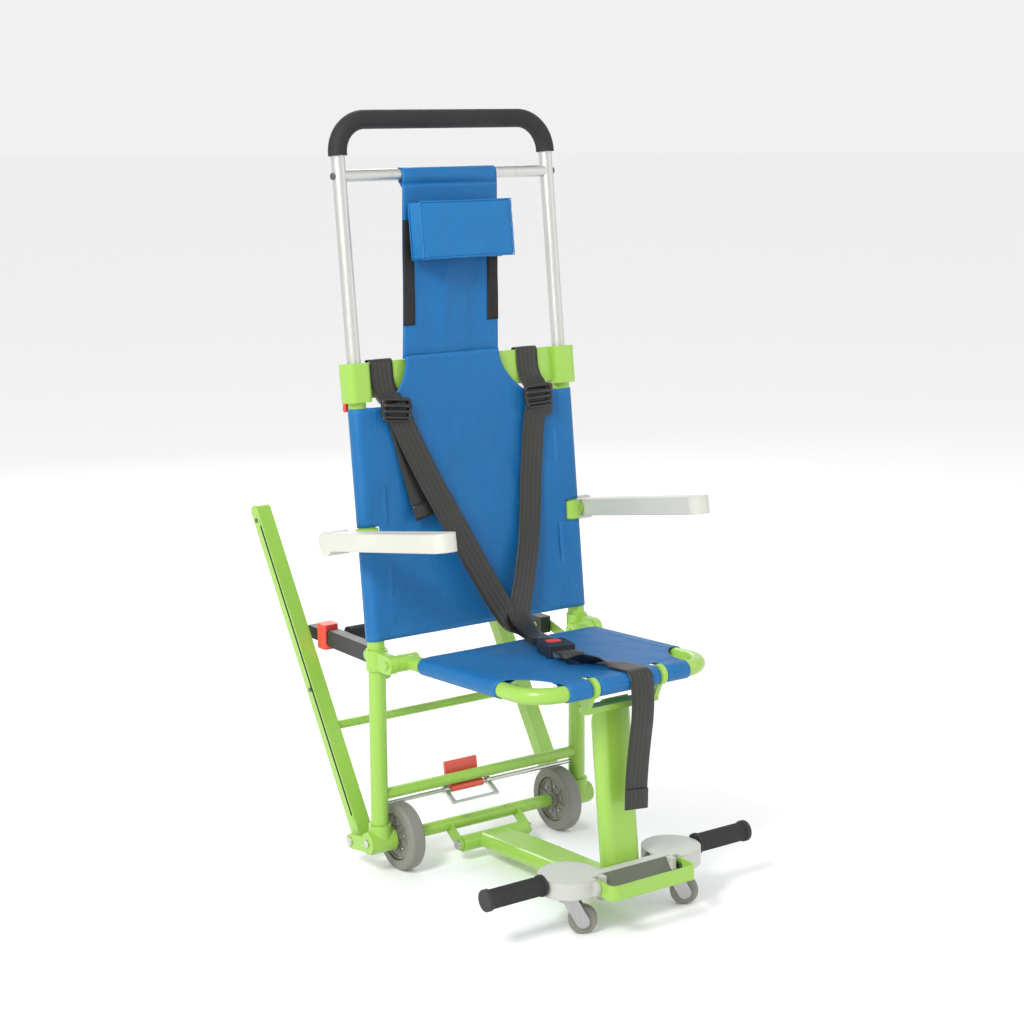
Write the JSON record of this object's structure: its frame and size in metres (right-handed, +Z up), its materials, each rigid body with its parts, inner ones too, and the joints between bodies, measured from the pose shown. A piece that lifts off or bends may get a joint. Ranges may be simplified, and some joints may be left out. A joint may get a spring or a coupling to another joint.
{
  "type": "stair chair",
  "caption": "Folding stair chair: reclined cloth back and seat on a tube frame, telescopic handle, front footrest with casters, rear wheels, rear glide rails, armrests and harness.",
  "frame": {"origin": "on the floor, under the middle of the bounding box", "axes": "+Z up, -Y the way the chair faces, +X to the right of someone who stands in front and looks at the chair"},
  "size_m": [0.594, 0.9614, 1.3848],
  "materials": {
    "green_paint": "glossy powder coat",
    "aluminium_tube": "brushed, satin",
    "steel": "zinc plated",
    "dark_steel": "dark plated",
    "blue_cloth": "coated woven cloth",
    "blue_cushion": "coated woven cloth over foam",
    "black_webbing": "ribbed webbing",
    "black_foam": "closed-cell foam",
    "black_rubber": "ribbed rubber",
    "black_plastic": "satin moulded",
    "black_paint": "satin powder coat",
    "white_plastic": "satin moulded",
    "red_plastic": "moulded",
    "red_paint": "gloss paint",
    "grey_casting": "grey powder coat",
    "grey_wheel": "solid grey tread",
    "grey_fork": "plated fork"
  },
  "bodies": {
    "frame": {"post_left": "green_paint", "post_right": "green_paint", "hub_left": "green_paint", "hub_right": "green_paint", "frame_screws": "steel", "axle_tube": "green_paint", "wheel_axles": "steel", "cross_tube": "green_paint", "pedal_rod": "steel", "yoke": "green_paint", "seat_bracket_left": "green_paint", "seat_bracket_right": "green_paint", "stay_brackets": "green_paint", "arm_mount_left": "green_paint", "arm_mount_right": "green_paint", "backrest_sheet": "blue_cloth", "shoulder_strap_left": "black_webbing", "shoulder_strap_right": "black_webbing", "strap_buckle_left": "black_plastic", "strap_buckle_right": "black_plastic"},
    "lever_left": {"lock_lever_left": "red_plastic"},
    "lever_right": {"lock_lever_right": "red_plastic"},
    "handle": {"handle_tube": "aluminium_tube", "handle_foam": "black_foam", "crossbar": "aluminium_tube", "crossbar_bolts": "dark_steel", "head_panel": "blue_cloth"},
    "cushion": {"head_cushion": "blue_cushion"},
    "arm_left": {"armrest_left": "white_plastic"},
    "arm_right": {"armrest_right": "white_plastic"},
    "seat": {"seat_tube": "green_paint", "seat_sheet": "blue_cloth", "lap_buckle": "black_plastic", "buckle_tongue": "steel", "lap_strap": "black_webbing"},
    "button": {"buckle_button": "red_plastic"},
    "leg": {"leg_column": "green_paint", "leg_clips": "green_paint", "leg_pin": "steel", "strap_tail": "black_webbing", "footrest": "grey_casting", "carry_tube": "green_paint", "grips": "black_rubber", "loop_bolts": "dark_steel"},
    "base": {"base_bar": "green_paint"},
    "loop": {"foot_loop": "green_paint"},
    "caster_left": {"caster_fork_left": "grey_fork"},
    "caster_right": {"caster_fork_right": "grey_fork"},
    "small_wheel_left": {"caster_wheel_left": "grey_wheel"},
    "small_wheel_right": {"caster_wheel_right": "grey_wheel"},
    "rear_wheel_left": {"wheel_left": "grey_wheel"},
    "rear_wheel_right": {"wheel_right": "grey_wheel"},
    "rails": {"rail_left": "green_paint", "rail_right": "green_paint", "rail_cross_tube": "green_paint"},
    "stays": {"stay_arms": "black_paint", "stay_grip": "black_foam"},
    "clamps": {"stay_clamps": "red_plastic"},
    "foot_pedal": {"pedal": "red_paint", "pedal_wire": "steel"}
  },
  "joints": [
    {"name": "handle_slide", "type": "slide", "parent": "frame", "child": "handle", "axis": [0, -0.1132, -0.9936], "range_m": [0, 0.24], "deforming": ["head_panel"]},
    {"name": "cushion_slide", "type": "slide", "parent": "handle", "child": "cushion", "axis": [0, -0.1132, -0.9936], "range_m": [0, 0.06]},
    {"name": "lock_lever_left_turn", "type": "hinge", "parent": "frame", "child": "lever_left", "pos_m": [-0.227, 0.12807, 0.91742], "axis": [1, 0, 0], "range_deg": [0, 20], "stiffness_Nm_per_rad": 0.5, "springref_deg": -5.73},
    {"name": "lock_lever_right_turn", "type": "hinge", "parent": "frame", "child": "lever_right", "pos_m": [0.227, 0.12807, 0.91742], "axis": [1, 0, 0], "range_deg": [0, 20], "stiffness_Nm_per_rad": 0.5, "springref_deg": -5.73},
    {"name": "armrest_left_fold", "type": "hinge", "parent": "frame", "child": "arm_left", "pos_m": [-0.275, 0.06598, 0.62859], "axis": [-1, 0, 0], "range_deg": [0, 95]},
    {"name": "armrest_right_fold", "type": "hinge", "parent": "frame", "child": "arm_right", "pos_m": [0.275, 0.06598, 0.62859], "axis": [-1, 0, 0], "range_deg": [0, 95]},
    {"name": "seat_fold", "type": "hinge", "parent": "frame", "child": "seat", "pos_m": [0, -0.00881, 0.409], "axis": [-1, 0, 0], "range_deg": [0, 62], "deforming": ["shoulder_strap_left", "shoulder_strap_right"]},
    {"name": "buckle_press", "type": "slide", "parent": "seat", "child": "button", "axis": [0, -0.0523, -0.9986], "range_m": [0, 0.002], "stiffness_N_per_m": 400, "springref_m": -0.001},
    {"name": "leg_fold", "type": "hinge", "parent": "seat", "child": "leg", "pos_m": [0, -0.39628, 0.42931], "axis": [-1, 0, 0], "range_deg": [-62, 0]},
    {"name": "base_fold", "type": "hinge", "parent": "frame", "child": "base", "pos_m": [0, 0.00078, 0.035], "axis": [-1, 0, 0], "range_deg": [0, 62]},
    {"name": "foot_loop_fold", "type": "hinge", "parent": "leg", "child": "loop", "pos_m": [0, -0.43868, 0.093], "axis": [-1, 0, 0], "range_deg": [0, 90]},
    {"name": "caster_left_swivel", "type": "hinge", "parent": "leg", "child": "caster_left", "pos_m": [-0.113, -0.38468, 0.07], "axis": [0, 0, 1], "continuous": true},
    {"name": "caster_right_swivel", "type": "hinge", "parent": "leg", "child": "caster_right", "pos_m": [0.113, -0.38468, 0.07], "axis": [0, 0, 1], "continuous": true},
    {"name": "caster_left_spin", "type": "hinge", "parent": "caster_left", "child": "small_wheel_left", "pos_m": [-0.09334, -0.39845, 0.025], "axis": [0.5736, 0.8192, 0], "continuous": true},
    {"name": "caster_right_spin", "type": "hinge", "parent": "caster_right", "child": "small_wheel_right", "pos_m": [0.13266, -0.39845, 0.025], "axis": [0.5736, 0.8192, 0], "continuous": true},
    {"name": "rear_wheel_left_spin", "type": "hinge", "parent": "frame", "child": "rear_wheel_left", "pos_m": [-0.18, 0.04118, 0.0625], "axis": [1, 0, 0], "continuous": true},
    {"name": "rear_wheel_right_spin", "type": "hinge", "parent": "frame", "child": "rear_wheel_right", "pos_m": [0.18, 0.04118, 0.0625], "axis": [1, 0, 0], "continuous": true},
    {"name": "rail_fold", "type": "hinge", "parent": "frame", "child": "rails", "pos_m": [0, 0.10118, 0.05], "axis": [1, 0, 0], "range_deg": [0, 28]},
    {"name": "stay_fold", "type": "hinge", "parent": "frame", "child": "stays", "pos_m": [0, 0.11119, 0.398], "axis": [1, 0, 0], "range_deg": [0, 70]},
    {"name": "clamp_slide", "type": "slide", "parent": "stays", "child": "clamps", "axis": [0, 1, 0], "range_m": [0, 0.014]},
    {"name": "pedal_press", "type": "hinge", "parent": "frame", "child": "foot_pedal", "pos_m": [-0.034, 0.04319, 0.1315], "axis": [-1, 0, 0], "range_deg": [0, 15], "stiffness_Nm_per_rad": 2, "springref_deg": -5.73}
  ],
  "couplings": [
    {"joint": "leg_fold", "follows": "seat_fold", "ratio": -1},
    {"joint": "base_fold", "follows": "seat_fold", "ratio": 1},
    {"joint": "rail_fold", "follows": "stay_fold", "ratio": 0.4}
  ]
}
